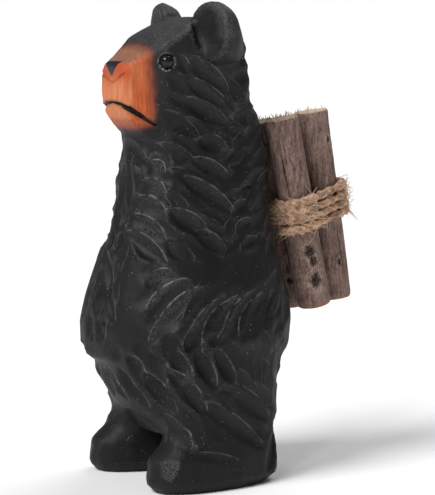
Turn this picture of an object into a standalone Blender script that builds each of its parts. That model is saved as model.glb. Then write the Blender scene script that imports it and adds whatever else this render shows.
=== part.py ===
# Carved wooden bear, standing upright, with a bundle of twigs tied to its back.
# The bear faces -Y and stands on z = 0. Lengths are in metres.
import bpy
import bmesh
import math
import random
from mathutils import Matrix, Vector
from mathutils.bvhtree import BVHTree

# Size of the carving. The figure is a free form, so its parts are shares of its own height.
BEAR_HEIGHT = 0.150
GAP = 0.0003                  # clearance between neighbouring pieces

# Eye beads
EYE_DIAMETER = 0.0042
EYE_SINK = 0.62               # share of the bead that sits in its socket
EYE_PLACE = (0.098, -0.094, 0.877)
EYE_SIDES = 10
EYE_RINGS = 7

# Twig bundle
TWIG_DIAMETER = 0.0108
TWIG_LENGTH = 0.0618
TWIG_BEVEL = 0.0006
TWIG_SIDES = 16
BUNDLE_LEAN = math.radians(12.0)
BUNDLE_SPLAY = math.radians(3.0)
BUNDLE_HEIGHT = 0.556         # middle of the twine above the ground, as a share of the bear's height
BUNDLE_REACH = 0.188          # depth of the back under the bundle, as a share of the bear's height
BUNDLE_SIDE = 0.016           # how far the bundle sits to the bear's left, as a share of its height
# Twig: name, sideways and outward place in twig pitches, splay, share of the length that stands above
# the twine's middle, share of the twig diameter
TWIGS = (
    ("near_twig", 0.53, 0.0, 0.0, 0.495, 1.06),
    ("inner_twig", -0.50, 0.0, 0.0, 0.475, 0.98),
    ("outer_twig", 0.10, 1.13, BUNDLE_SPLAY, 0.478, 1.04),
)

# Twine wound round the twigs
TWINE_DIAMETER = 0.0029
TWINE_TURNS = 4
TWINE_AROUND = 28
TWINE_PITCH = 0.98            # rise a turn as a share of the twine's diameter
TWINE_CREST = 0.24            # shoulder of each turn's rounded ridge, as a share of the rise a turn

# Body cross sections from the hips up: height, half width, front, back, squareness
BODY_SECTIONS = (
    (0.105, 0.140, 0.088, 0.122, 2.8),
    (0.150, 0.160, 0.132, 0.166, 2.8),
    (0.205, 0.176, 0.176, 0.197, 2.7),
    (0.240, 0.178, 0.182, 0.205, 2.7),
    (0.260, 0.186, 0.212, 0.213, 2.7),
    (0.325, 0.188, 0.215, 0.221, 2.6),
    (0.390, 0.180, 0.203, 0.220, 2.6),
    (0.450, 0.165, 0.183, 0.200, 2.6),
    (0.515, 0.150, 0.163, 0.186, 2.5),
    (0.575, 0.139, 0.149, 0.182, 2.5),
    (0.635, 0.128, 0.141, 0.182, 2.5),
    (0.695, 0.118, 0.132, 0.180, 2.5),
    (0.740, 0.110, 0.124, 0.170, 2.5),
    (0.800, 0.100, 0.100, 0.145, 2.5),
)
BODY_SIDES = 24
# The coat hangs over the thighs in a lower edge that rises towards the sides
SKIRT_HEIGHT = 0.250
SKIRT_REACH = 0.140
SKIRT_RISE = 0.045

# Head across its depth, back of the skull to the tip of the muzzle: y, then (half width, height) of
# ridge, crown, temple, cheek and jaw
HEAD_SECTIONS = (
    (0.120, ((0.018, 0.874), (0.040, 0.870), (0.062, 0.830), (0.086, 0.760), (0.090, 0.700))),
    (0.092, ((0.024, 0.950), (0.062, 0.947), (0.096, 0.912), (0.104, 0.780), (0.104, 0.700))),
    (0.010, ((0.026, 0.969), (0.070, 0.966), (0.104, 0.938), (0.110, 0.790), (0.108, 0.700))),
    (-0.045, ((0.026, 0.955), (0.070, 0.951), (0.099, 0.942), (0.105, 0.790), (0.098, 0.705))),
    (-0.092, ((0.024, 0.934), (0.069, 0.928), (0.096, 0.912), (0.096, 0.770), (0.078, 0.712))),
    (-0.112, ((0.022, 0.916), (0.064, 0.910), (0.081, 0.896), (0.083, 0.760), (0.062, 0.722))),
    (-0.140, ((0.018, 0.893), (0.053, 0.887), (0.065, 0.876), (0.070, 0.770), (0.050, 0.744))),
    (-0.159, ((0.016, 0.881), (0.045, 0.875), (0.056, 0.863), (0.060, 0.786), (0.044, 0.766))),
    (-0.168, ((0.012, 0.877), (0.035, 0.871), (0.047, 0.856), (0.050, 0.810), (0.036, 0.797))),
)

# Ear from its front rim backwards: y, radius, drop of the centre
EAR_SECTIONS = (
    (-0.020, 0.056, 0.000),
    (-0.008, 0.062, 0.000),
    (0.018, 0.056, 0.006),
    (0.050, 0.032, 0.030),
)
EAR_PLACE = (0.108, 0.014, 0.9360)
EAR_TURN = math.radians(12.0)
EAR_SIDES = 14
EAR_SQUARENESS = 2.35
EAR_TALLNESS = 1.05           # height of the ear over its width
# Ear cup: middle from the ear's own middle, and half sizes
CUP_OFFSET = (-0.001, -0.026, 0.006)
CUP_SIZE = (0.038, 0.018, 0.044)
CUP_SIDES = 12
CUP_RINGS = 8

# Foot and leg from the sole up: height, half width, front, back, squareness
FOOT_SECTIONS = (
    (0.000, 0.058, 0.134, 0.126, 2.3),
    (0.018, 0.068, 0.151, 0.158, 2.4),
    (0.066, 0.067, 0.145, 0.160, 2.5),
    (0.096, 0.063, 0.112, 0.160, 2.5),
    (0.130, 0.063, 0.100, 0.160, 2.5),
    (0.235, 0.064, 0.132, 0.162, 2.5),
    (0.300, 0.052, 0.106, 0.146, 2.5),
)
FOOT_SPREAD = 0.115
FOOT_TURN = math.radians(5.0)
FOOT_SIDES = 18
RIGHT_FOOT_LEAD = 0.010       # the right foot stands a little ahead of the left one

# Gouge rows on the bear's left half. Each row runs from a first to a last stroke, and a stroke is
# (bearing, height) at its start and end. Bearings are in degrees about the upright axis: -90 is the
# middle of the front, 0 the left side and 90 the middle of the back.
GOUGE_ROWS = (
    # strokes, first stroke, last stroke, width, depth
    (3, (-22, 0.874, 22, 0.814), (-30, 0.798, 18, 0.750), 0.042, 0.0085),
    (2, (-29, 0.876, -20, 0.842), (-36, 0.834, -25, 0.790), 0.032, 0.0055),
    (2, (-16, 0.722, 20, 0.700), (-26, 0.694, 18, 0.658), 0.042, 0.0085),
    (5, (-64, 0.694, -40, 0.662), (-80, 0.545, -38, 0.484), 0.046, 0.0095),
    (2, (-36, 0.664, 18, 0.588), (-48, 0.598, -4, 0.526), 0.056, 0.0110),
    (2, (-20, 0.552, 10, 0.498), (-46, 0.528, -16, 0.472), 0.046, 0.0085),
    (5, (20, 0.664, 42, 0.700), (16, 0.500, 44, 0.540), 0.044, 0.0090),
    (2, (-60, 0.450, -32, 0.468), (-62, 0.388, -34, 0.440), 0.046, 0.0090),
    (5, (-52, 0.344, -18, 0.434), (24, 0.330, 54, 0.416), 0.056, 0.0120),
    (5, (-68, 0.320, -70, 0.236), (-8, 0.322, 8, 0.236), 0.044, 0.0100),
    (4, (-78, 0.250, -56, 0.168), (-6, 0.216, 30, 0.112), 0.050, 0.0105),
    (3, (20, 0.306, 32, 0.216), (62, 0.300, 68, 0.196), 0.050, 0.0100),
    (3, (-34, 0.172, -12, 0.108), (40, 0.158, 64, 0.086), 0.042, 0.0085),
    # back of the neck, shoulders, rump and legs
    (3, (84, 0.880, 58, 0.820), (84, 0.760, 58, 0.720), 0.046, 0.0085),
    (3, (80, 0.470, 56, 0.440), (82, 0.350, 62, 0.300), 0.052, 0.0100),
    # long facets down the front
    (2, (-91, 0.655, -89, 0.520), (-89, 0.500, -91, 0.355), 0.070, 0.0100),
    (2, (-99, 0.580, -94, 0.480), (-90, 0.470, -84, 0.375), 0.018, 0.0110),
    (2, (-97, 0.352, -97, 0.306), (-86, 0.352, -86, 0.306), 0.018, 0.0100),
)
GOUGE_SIDES = 10
GOUGE_RINGS = 8
GOUGE_RIM = 0.5               # most that a stroke stands off its middle, as a share of its depth
# Hand jitter: how far the strokes stray in share, degrees of bearing, height and size
HAND_JITTER = 0.05
HAND_BEARING = 60.0
HAND_HEIGHT = 0.1
HAND_SIZE = 2.0
HAND_SEED = 7

# Mouth line from its middle to its corner: x, y, z, and half width of the cut
MOUTH_LINE = (
    (0.000, -0.1700, 0.7935, 0.0034),
    (0.032, -0.1680, 0.7905, 0.0042),
    (0.057, -0.1570, 0.7805, 0.0062),
    (0.068, -0.1350, 0.7665, 0.0046),
    (0.077, -0.1080, 0.7490, 0.0032),
)
# Crease under the nose
CREASE_LINE = (
    (0.000, -0.1695, 0.8330, 0.0024),
    (0.026, -0.1690, 0.8430, 0.0024),
    (0.052, -0.1670, 0.8530, 0.0024),
)
GROOVE_ROUNDNESS = 2

# Nose: a blunt three-cornered wedge. Each corner of its front is (share of the half width, back, height)
NOSE_WIDTH = 0.064
NOSE_PLACE = (-0.170, 0.876)
NOSE_DEPTH = 0.020
NOSE_TAPER = 0.9
NOSE_CORNERS = (
    (1.00, 0.000, -0.004), (-1.00, 0.000, -0.004),
    (0.24, 0.000, -0.030), (-0.24, 0.000, -0.030),
    (0.75, 0.008, 0.004), (-0.75, 0.008, 0.004),
)

WELD = 0.00001
SMOOTH_ANGLE = math.radians(40.0)

# Colours and roughness
BLACK_PAINT = ("black_paint", (0.030, 0.030, 0.031), 0.6)
EYE_BLACK = ("eye_black", (0.010, 0.010, 0.011), 0.08)
BARK_BROWN = ("bark", (0.095, 0.065, 0.058), 0.85)
TWINE_TAN = ("jute", (0.330, 0.200, 0.120), 0.9)


def clear_scene():
    for item in list(bpy.data.objects):
        bpy.data.objects.remove(item, do_unlink=True)


def mesh_object(name, bm, collection):
    bm.normal_update()
    bmesh.ops.recalc_face_normals(bm, faces=bm.faces)
    mesh = bpy.data.meshes.new(name)
    bm.to_mesh(mesh)
    bm.free()
    item = bpy.data.objects.new(name, mesh)
    collection.objects.link(item)
    return item


def loft(rings):
    """Skin a list of closed rings that have the same number of points, and cap both ends."""
    bm = bmesh.new()
    rows = []
    for ring in rings:
        rows.append([bm.verts.new(point) for point in ring])
    count = len(rows[0])
    for low, high in zip(rows, rows[1:]):
        for i in range(count):
            j = (i + 1) % count
            bm.faces.new((low[i], low[j], high[j], high[i]))
    bm.faces.new(rows[0])
    bm.faces.new(rows[-1])
    return bm


def power(value, exponent):
    return math.copysign(abs(value) ** exponent, value)


def oval_ring(height, half_width, front, back, squareness, sides):
    ring = []
    for i in range(sides):
        angle = 2.0 * math.pi * (i + 0.5) / sides
        depth = back if math.sin(angle) > 0.0 else front
        x = half_width * power(math.cos(angle), 2.0 / squareness)
        y = depth * power(math.sin(angle), 2.0 / squareness)
        ring.append(Vector((x, y, height)))
    return ring


def scaled(points):
    return [Vector(point) * BEAR_HEIGHT for point in points]


def mirror(bm):
    bm.transform(Matrix.Scale(-1.0, 4, Vector((1.0, 0.0, 0.0))))


def mirrored_ring(y, half):
    """Ring across the head at depth y from (x, z) pairs running down the left half."""
    left = [Vector((x, y, z)) for x, z in half]
    right = [Vector((-x, y, z)) for x, z in reversed(half)]
    return left + right


def build_body(collection):
    rings = []
    for height, half_width, front, back, squareness in BODY_SECTIONS:
        ring = oval_ring(height, half_width, front, back, squareness, BODY_SIDES)
        nearness = max(0.0, 1.0 - abs(height - SKIRT_HEIGHT) / SKIRT_REACH)
        for point in ring:
            point.z += SKIRT_RISE * nearness * abs(point.x) / half_width
        rings.append(scaled(ring))
    return mesh_object("body_blank", loft(rings), collection)


def build_head(collection):
    rings = []
    for y, half in HEAD_SECTIONS:
        rings.append(scaled(mirrored_ring(y, half)))
    return mesh_object("head_blank", loft(rings), collection)


def build_ear(side, collection):
    rings = []
    for y, radius, drop in EAR_SECTIONS:
        ring = []
        for i in range(EAR_SIDES):
            angle = 2.0 * math.pi * (i + 0.5) / EAR_SIDES
            x = radius * power(math.cos(angle), 2.0 / EAR_SQUARENESS)
            z = radius * EAR_TALLNESS * power(math.sin(angle), 2.0 / EAR_SQUARENESS)
            ring.append(Vector((x, y, z - drop)))
        rings.append(ring)
    turn = Matrix.Rotation(side * EAR_TURN, 4, 'Z')
    centre = Vector((side * EAR_PLACE[0], EAR_PLACE[1], EAR_PLACE[2]))
    rings = [scaled([turn @ point + centre for point in ring]) for ring in rings]
    return mesh_object("ear_blank", loft(rings), collection)


def cup_cutter(side, collection):
    bm = bmesh.new()
    bmesh.ops.create_uvsphere(bm, u_segments=CUP_SIDES, v_segments=CUP_RINGS, radius=1.0)
    bm.transform(Matrix.Diagonal(Vector(CUP_SIZE) * BEAR_HEIGHT).to_4x4())
    offset = Vector((side * CUP_OFFSET[0], CUP_OFFSET[1], CUP_OFFSET[2]))
    turn = Matrix.Rotation(side * EAR_TURN, 4, 'Z')
    centre = turn @ offset + Vector((side * EAR_PLACE[0], EAR_PLACE[1], EAR_PLACE[2]))
    bm.transform(Matrix.Translation(centre * BEAR_HEIGHT) @ turn)
    return mesh_object("cup_cutter", bm, collection)


def build_foot(side, collection):
    rings = []
    turn = Matrix.Rotation(side * FOOT_TURN, 4, 'Z')
    lead = RIGHT_FOOT_LEAD if side < 0 else 0.0
    spread = Vector((side * FOOT_SPREAD, 0.0, 0.0))
    for height, half_width, front, back, squareness in FOOT_SECTIONS:
        ring = oval_ring(height, half_width, front + lead, back, squareness, FOOT_SIDES)
        rings.append(scaled([turn @ point + spread for point in ring]))
    return mesh_object("foot_blank", loft(rings), collection)


def boolean(target, tool, operation):
    modifier = target.modifiers.new("cut", 'BOOLEAN')
    modifier.operation = operation
    modifier.solver = 'EXACT'
    modifier.object = tool
    graph = bpy.context.evaluated_depsgraph_get()
    mesh = bpy.data.meshes.new_from_object(target.evaluated_get(graph))
    target.modifiers.clear()
    old = target.data
    target.data = mesh
    bpy.data.meshes.remove(old)
    bpy.data.objects.remove(tool, do_unlink=True)


def surface_tree(item):
    graph = bpy.context.evaluated_depsgraph_get()
    return BVHTree.FromObject(item, graph)


def surface_point(tree, bearing, height):
    angle = math.radians(bearing)
    outward = Vector((math.cos(angle), math.sin(angle), 0.0))
    start = outward * BEAR_HEIGHT + Vector((0.0, 0.0, height * BEAR_HEIGHT))
    point, normal, face, distance = tree.ray_cast(start, -outward)
    if point is None:
        point, normal, face, distance = tree.find_nearest(start)
    return point, normal


def gouge_cutter(tree, stroke, width, depth, side, hand, collection):
    """Long round-bottomed cutter laid along the surface between the two ends of a stroke."""
    bearing_a, height_a, bearing_b, height_b = stroke
    stray_a, stray_b, stray_height, stray_size = [hand.uniform(-HAND_JITTER, HAND_JITTER) for i in range(4)]
    size = 1.0 + HAND_SIZE * stray_size
    bearing_a += HAND_BEARING * stray_a
    bearing_b += HAND_BEARING * stray_b
    height_a += HAND_HEIGHT * stray_height
    height_b += HAND_HEIGHT * stray_height
    start, normal_a = surface_point(tree, bearing_a, height_a)
    end, normal_b = surface_point(tree, bearing_b, height_b)
    middle, normal = surface_point(tree, (bearing_a + bearing_b) / 2.0, (height_a + height_b) / 2.0)
    along = (end - start).normalized()
    normal = (normal_a + normal_b + normal * 2.0).normalized()
    normal = (normal - along * normal.dot(along)).normalized()
    across = normal.cross(along)
    length = (end - start).length
    width = width * size * BEAR_HEIGHT
    depth = depth * size * BEAR_HEIGHT
    radius = (width * width / 4.0 + depth * depth) / (2.0 * depth)
    bulge = max(0.0, (middle - (start + end) / 2.0).dot(normal))
    bulge = min(bulge, GOUGE_RIM * depth)
    level = (radius - depth + bulge) / radius
    half_length = (length / 2.0) / math.sqrt(1.0 - level * level)
    bm = bmesh.new()
    bmesh.ops.create_uvsphere(bm, u_segments=GOUGE_SIDES, v_segments=GOUGE_RINGS, radius=1.0)
    frame = Matrix((across * radius, normal * radius, along * half_length)).transposed().to_4x4()
    frame.translation = middle + normal * (radius - depth)
    bm.transform(frame)
    if side < 0:
        mirror(bm)
    return mesh_object("gouge_cutter", bm, collection)


def carve_coat(bear, collection):
    tree = surface_tree(bear)
    for side in (1, -1):
        hand = random.Random(HAND_SEED + side)
        for count, first, last, width, depth in GOUGE_ROWS:
            for i in range(count):
                share = i / (count - 1)
                stroke = [a + (b - a) * share for a, b in zip(first, last)]
                tool = gouge_cutter(tree, stroke, width, depth, side, hand, collection)
                boolean(bear, tool, 'DIFFERENCE')


def groove_cutter(name, half_line, collection):
    """Bar bent along a line and its mirror image, used to cut a groove into the face."""
    right = [(-x, y, z, size) for x, y, z, size in reversed(half_line[1:])]
    line = right + list(half_line)
    curve = bpy.data.curves.new(name, 'CURVE')
    curve.dimensions = '3D'
    curve.bevel_depth = BEAR_HEIGHT
    curve.bevel_resolution = GROOVE_ROUNDNESS
    curve.use_fill_caps = True
    spline = curve.splines.new('POLY')
    spline.points.add(len(line) - 1)
    for knot, (x, y, z, size) in zip(spline.points, line):
        place = Vector((x, y, z)) * BEAR_HEIGHT
        knot.co = (place.x, place.y, place.z, 1.0)
        knot.radius = size
    item = bpy.data.objects.new(name, curve)
    collection.objects.link(item)
    graph = bpy.context.evaluated_depsgraph_get()
    mesh = bpy.data.meshes.new_from_object(item.evaluated_get(graph))
    bm = bmesh.new()
    bm.from_mesh(mesh)
    bm.transform(item.matrix_world)
    bmesh.ops.remove_doubles(bm, verts=bm.verts, dist=WELD)
    bpy.data.objects.remove(item, do_unlink=True)
    bpy.data.meshes.remove(mesh)
    return mesh_object(name, bm, collection)


def build_nose(collection):
    half = NOSE_WIDTH / 2.0
    bm = bmesh.new()
    for across, back, rise in NOSE_CORNERS:
        front = Vector((across * half, NOSE_PLACE[0] + back, NOSE_PLACE[1] + rise))
        behind = Vector((front.x * NOSE_TAPER, front.y + NOSE_DEPTH, front.z))
        bm.verts.new(front * BEAR_HEIGHT)
        bm.verts.new(behind * BEAR_HEIGHT)
    hull = bmesh.ops.convex_hull(bm, input=bm.verts)
    inner = [part for part in hull["geom_interior"] if isinstance(part, bmesh.types.BMVert)]
    bmesh.ops.delete(bm, geom=inner, context='VERTS')
    return mesh_object("nose_blank", bm, collection)


def eye_ball(name, tree, side, radius, collection):
    point, normal, face, distance = tree.find_nearest(Vector(EYE_PLACE) * BEAR_HEIGHT)
    centre = point - normal * (EYE_SINK - 0.5) * EYE_DIAMETER
    bm = bmesh.new()
    bmesh.ops.create_uvsphere(bm, u_segments=EYE_SIDES, v_segments=EYE_RINGS, radius=radius)
    turn = normal.to_track_quat('Z', 'Y').to_matrix().to_4x4()
    bm.transform(Matrix.Translation(centre) @ turn)
    if side < 0:
        mirror(bm)
    return mesh_object(name, bm, collection)


def bundle_frame():
    """The bundle lies on the twine, which lies on the back, so its depth follows from all three."""
    depth = BUNDLE_REACH * BEAR_HEIGHT + TWINE_DIAMETER + TWIG_DIAMETER / 2.0 + GAP
    place = Vector((BUNDLE_SIDE * BEAR_HEIGHT, depth, BUNDLE_HEIGHT * BEAR_HEIGHT))
    return Matrix.Translation(place) @ Matrix.Rotation(BUNDLE_LEAN, 4, 'X')


def twig_axis(twig):
    """Middle of the twig and its direction, in the bundle's own frame."""
    name, sideways, outward, splay, above, size = twig
    pitch = TWIG_DIAMETER + GAP
    spread = math.tan(splay) * TWIG_LENGTH * (1.0 - above)
    x = sideways * pitch
    y = outward * (pitch * math.sqrt(3.0) / 2.0 + spread)
    direction = Vector((0.0, math.sin(splay), math.cos(splay)))
    return Vector((x, y, 0.0)), direction


def twig_mesh(name, twig, clearance, collection):
    middle, direction = twig_axis(twig)
    above, size = twig[4], twig[5]
    radius = TWIG_DIAMETER * size / 2.0 + clearance
    top = TWIG_LENGTH * above + clearance
    bottom = -TWIG_LENGTH * (1.0 - above) - clearance
    bm = bmesh.new()
    bmesh.ops.create_cone(bm, cap_ends=True, segments=TWIG_SIDES, radius1=radius, radius2=radius,
                          depth=top - bottom)
    bm.transform(Matrix.Translation(Vector((0.0, 0.0, (top + bottom) / 2.0))))
    rims = [edge for edge in bm.edges if abs(edge.verts[0].co.z - edge.verts[1].co.z) < WELD]
    bmesh.ops.bevel(bm, geom=rims, offset=TWIG_BEVEL, segments=1, profile=0.5, affect='EDGES',
                    material=-1, clamp_overlap=True)
    turn = direction.to_track_quat('Z', 'Y').to_matrix().to_4x4()
    bm.transform(bundle_frame() @ Matrix.Translation(middle) @ turn)
    return mesh_object(name, bm, collection)


def twine_point(angle, height, reach):
    """Point on the line drawn tight round the three twigs at one height of the bundle."""
    best = None
    way = Vector((math.cos(angle), math.sin(angle), 0.0))
    for twig in TWIGS:
        middle, direction = twig_axis(twig)
        centre = middle + direction * (height / direction.z)
        radius = TWIG_DIAMETER * twig[5] / 2.0 / direction.z
        point = centre + way * (radius + reach)
        if best is None or point.dot(way) > best.dot(way):
            best = point
    return Vector((best.x, best.y, height))


def twine_ridges():
    """Section of the touching turns, as (height, reach from the twigs), with one ridge a turn."""
    pitch = TWINE_DIAMETER * TWINE_PITCH
    low = -pitch * TWINE_TURNS / 2.0
    section = []
    for turn in range(TWINE_TURNS):
        middle = low + pitch * (turn + 0.5)
        for step in (-0.5, -TWINE_CREST, TWINE_CREST):
            rise = math.sqrt(0.25 - (step * TWINE_PITCH) ** 2)
            section.append((middle + step * pitch, GAP + TWINE_DIAMETER * (0.5 + rise)))
    section.append((-low, section[0][1]))
    section.append((-low, GAP))
    section.append((low, GAP))
    return section


def twine_envelope(clearance):
    """Plain section that holds the whole band with a clearance round it."""
    half = TWINE_DIAMETER * TWINE_PITCH * TWINE_TURNS / 2.0 + clearance
    reach = GAP + TWINE_DIAMETER + clearance
    return [(-half, reach), (half, reach), (half, 0.0), (-half, 0.0)]


def twine_mesh(name, section, collection):
    bm = bmesh.new()
    loops = []
    for i in range(TWINE_AROUND):
        angle = 2.0 * math.pi * i / TWINE_AROUND
        loops.append([bm.verts.new(twine_point(angle, height, reach)) for height, reach in section])
    for i in range(TWINE_AROUND):
        here, after = loops[i], loops[(i + 1) % TWINE_AROUND]
        for j in range(len(section)):
            k = (j + 1) % len(section)
            bm.faces.new((here[j], here[k], after[k], after[j]))
    bm.transform(bundle_frame())
    return mesh_object(name, bm, collection)


def finish(item, paint):
    name, colour, roughness = paint
    material = bpy.data.materials.get(name)
    if material is None:
        material = bpy.data.materials.new(name)
    material.use_nodes = True
    shader = material.node_tree.nodes["Principled BSDF"]
    shader.inputs["Base Color"].default_value = (colour[0], colour[1], colour[2], 1.0)
    shader.inputs["Roughness"].default_value = roughness
    shader.inputs["Metallic"].default_value = 0.0
    item.data.materials.clear()
    item.data.materials.append(material)


def shade_round(item):
    item.data.polygons.foreach_set("use_smooth", [True] * len(item.data.polygons))
    item.data.set_sharp_from_angle(angle=SMOOTH_ANGLE)


def stand_on_origin(items):
    """Move the pieces together so that the origin is the middle of the base of their common box."""
    points = [vertex.co for item in items for vertex in item.data.vertices]
    low = Vector([min(point[axis] for point in points) for axis in range(3)])
    high = Vector([max(point[axis] for point in points) for axis in range(3)])
    shift = Vector((-(low.x + high.x) / 2.0, -(low.y + high.y) / 2.0, -low.z))
    for item in items:
        item.data.transform(Matrix.Translation(shift))


def main():
    clear_scene()
    pieces = bpy.data.collections.new("carved_bear")
    bpy.context.scene.collection.children.link(pieces)

    bear = build_body(pieces)
    bear.name = "bear"
    boolean(bear, build_head(pieces), 'UNION')
    for side in (1, -1):
        boolean(bear, build_foot(side, pieces), 'UNION')
    carve_coat(bear, pieces)
    for side in (1, -1):
        boolean(bear, build_ear(side, pieces), 'UNION')
        boolean(bear, cup_cutter(side, pieces), 'DIFFERENCE')
    boolean(bear, groove_cutter("mouth_cutter", MOUTH_LINE, pieces), 'DIFFERENCE')
    boolean(bear, groove_cutter("crease_cutter", CREASE_LINE, pieces), 'DIFFERENCE')
    boolean(bear, build_nose(pieces), 'UNION')

    tree = surface_tree(bear)
    for side, name in ((1, "left_eye"), (-1, "right_eye")):
        socket = eye_ball("socket_cutter", tree, side, EYE_DIAMETER / 2.0 + GAP, pieces)
        boolean(bear, socket, 'DIFFERENCE')
        eye = eye_ball(name, tree, side, EYE_DIAMETER / 2.0, pieces)
        finish(eye, EYE_BLACK)
        shade_round(eye)

    for twig in TWIGS:
        boolean(bear, twig_mesh("twig_seat", twig, GAP, pieces), 'DIFFERENCE')
        item = twig_mesh(twig[0], twig, 0.0, pieces)
        finish(item, BARK_BROWN)
        shade_round(item)
    boolean(bear, twine_mesh("twine_seat", twine_envelope(GAP), pieces), 'DIFFERENCE')
    twine = twine_mesh("twine_binding", twine_ridges(), pieces)
    finish(twine, TWINE_TAN)
    shade_round(twine)
    finish(bear, BLACK_PAINT)
    stand_on_origin(list(pieces.objects))


main()
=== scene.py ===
# %% [markdown]
# # A carved wooden bear with a bundle of twigs on its back
# The bear is one block of wood, roughed out with a saw and finished with a gouge. The gouge leaves
# rows of hollow strokes that read as fur. It is painted black, and only the muzzle keeps a stain.
# A small bundle of real twigs, bound with jute twine, sits against its back.

# %% Tools
import math
import random

import bmesh
import bpy
import numpy as np
from mathutils import Matrix, Vector, noise
from mathutils.bvhtree import BVHTree


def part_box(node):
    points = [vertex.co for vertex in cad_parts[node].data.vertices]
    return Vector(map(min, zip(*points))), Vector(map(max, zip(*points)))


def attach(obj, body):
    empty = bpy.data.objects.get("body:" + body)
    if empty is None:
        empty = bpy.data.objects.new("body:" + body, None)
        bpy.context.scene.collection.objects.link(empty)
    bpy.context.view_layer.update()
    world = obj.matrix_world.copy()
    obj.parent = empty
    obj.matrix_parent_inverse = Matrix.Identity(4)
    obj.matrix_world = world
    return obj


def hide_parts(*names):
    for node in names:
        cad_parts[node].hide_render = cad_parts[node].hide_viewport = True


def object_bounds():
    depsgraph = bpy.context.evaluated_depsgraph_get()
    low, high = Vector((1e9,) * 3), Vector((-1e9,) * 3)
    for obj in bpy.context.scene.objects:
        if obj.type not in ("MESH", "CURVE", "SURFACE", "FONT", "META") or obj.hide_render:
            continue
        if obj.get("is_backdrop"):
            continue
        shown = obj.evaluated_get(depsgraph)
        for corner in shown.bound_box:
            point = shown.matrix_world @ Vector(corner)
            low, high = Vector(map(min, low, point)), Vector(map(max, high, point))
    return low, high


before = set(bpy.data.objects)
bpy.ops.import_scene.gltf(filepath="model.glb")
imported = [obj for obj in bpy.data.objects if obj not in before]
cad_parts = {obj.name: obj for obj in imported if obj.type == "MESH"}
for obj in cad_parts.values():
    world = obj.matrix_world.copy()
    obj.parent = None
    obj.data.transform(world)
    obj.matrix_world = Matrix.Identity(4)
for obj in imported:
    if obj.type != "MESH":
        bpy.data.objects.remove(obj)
cad_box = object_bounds()
MM = 0.001


def unit(values):
    return values / np.maximum(np.linalg.norm(values, axis=1, keepdims=True), 1e-12)


def smooth_step(low, high, values):
    share = np.clip((values - low) / (high - low), 0.0, 1.0)
    return share * share * (3.0 - 2.0 * share)


def noise_at(points, scale, offset=0.0):
    """Smooth noise from -1 to 1 at each point, with features of about 1/scale metres."""
    shift = Vector((offset, offset * 0.7, offset * 1.3))
    return np.array([noise.noise(Vector(point) * scale + shift) for point in points])


def finished(name, mesh, node, material, smooth=True):
    """A finished piece that stands for one solid of the model."""
    piece = bpy.data.objects.new(name, mesh)
    bpy.context.scene.collection.objects.link(piece)
    mesh.materials.clear()
    mesh.materials.append(material)
    mesh.polygons.foreach_set("use_smooth", [smooth] * len(mesh.polygons))
    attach(piece, "root")
    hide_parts(node)
    print(name, len(mesh.polygons), "faces")
    return piece


def float_attribute(mesh, name, values):
    layer = mesh.attributes.new(name, 'FLOAT', 'POINT')
    layer.data.foreach_set("value", np.asarray(values, dtype=np.float32))


# %% [markdown]
# ## Finding the bear's features
# Every mark on the head is placed from the eyes, because on a real carving the drilled eyes are
# what the muzzle, brow and ears are laid out from. Places are shares of the figure's height.

# %% Landmarks
# Sizes in mm are given for a bear of DRAWN_HEIGHT and follow its real height
DRAWN_HEIGHT = 0.150
EYE_SHARE = Vector((0.0929, -0.0907, 0.877))
eye_low, eye_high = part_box("left_eye")
eye = (eye_low + eye_high) / 2.0
size = eye.z / EYE_SHARE.z
axis_y = eye.y - EYE_SHARE.y * size
scale = size / DRAWN_HEIGHT
print("figure height in mm", round(size / MM, 1), "upright axis at mm", round(axis_y / MM, 2))

# The photograph looks at the bear from this bearing
VIEW_BEARING = math.radians(61.5)
view_right = Vector((math.cos(VIEW_BEARING), math.sin(VIEW_BEARING), 0.0))
view_back = Vector((math.sin(VIEW_BEARING), -math.cos(VIEW_BEARING), 0.0))


def landmark(x, y, z):
    return np.array((x * size, axis_y + y * size, z * size))


# Mouth, crease under the nose and the three corners of the nose, left half
MOUTH = [(0.0, -0.170, 0.7935), (0.032, -0.168, 0.7905), (0.057, -0.157, 0.7805), (0.068, -0.135, 0.7665),
         (0.077, -0.108, 0.7490)]
MOUTH_RADIUS = [0.51, 0.63, 0.93, 0.69, 0.48]
CREASE = [(0.0, -0.1695, 0.833), (0.026, -0.169, 0.843), (0.052, -0.167, 0.853)]
NOSE_TOP, NOSE_BOTTOM, NOSE_HALF = 0.876, 0.848, 0.030

# %% [markdown]
# ## The gouged coat
# The solid already carries the large strokes. Here its surface is turned into a fine even mesh that
# is laid back on the solid, finer still around the mouth, the crease under the nose and the eyes, and
# smoothed only where it is already smooth, so the rims of the strokes stay crisp. A voxel mesh is used
# because its faces are all about the same size, so a stroke can run over it in any direction.

# %% Mesh helpers
def merged_copy(node_name):
    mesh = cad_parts[node_name].data.copy()
    bm = bmesh.new()
    bm.from_mesh(mesh)
    bmesh.ops.remove_doubles(bm, verts=bm.verts, dist=1e-6)
    bm.to_mesh(mesh)
    bm.free()
    mesh.materials.clear()
    return mesh


def even_mesh(mesh, voxel):
    """The same surface as a fine even mesh."""
    scratch = bpy.data.objects.new("scratch", mesh)
    bpy.context.scene.collection.objects.link(scratch)
    modifier = scratch.modifiers.new("even", 'REMESH')
    modifier.mode = 'VOXEL'
    modifier.voxel_size = voxel
    graph = bpy.context.evaluated_depsgraph_get()
    result = bpy.data.meshes.new_from_object(scratch.evaluated_get(graph))
    bpy.data.objects.remove(scratch, do_unlink=True)
    return result


def tree_of(mesh):
    return BVHTree.FromPolygons([vertex.co for vertex in mesh.vertices],
                                [tuple(polygon.vertices) for polygon in mesh.polygons])


def mesh_points(mesh):
    points = np.zeros(len(mesh.vertices) * 3)
    mesh.vertices.foreach_get("co", points)
    return points.reshape(-1, 3)


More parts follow.
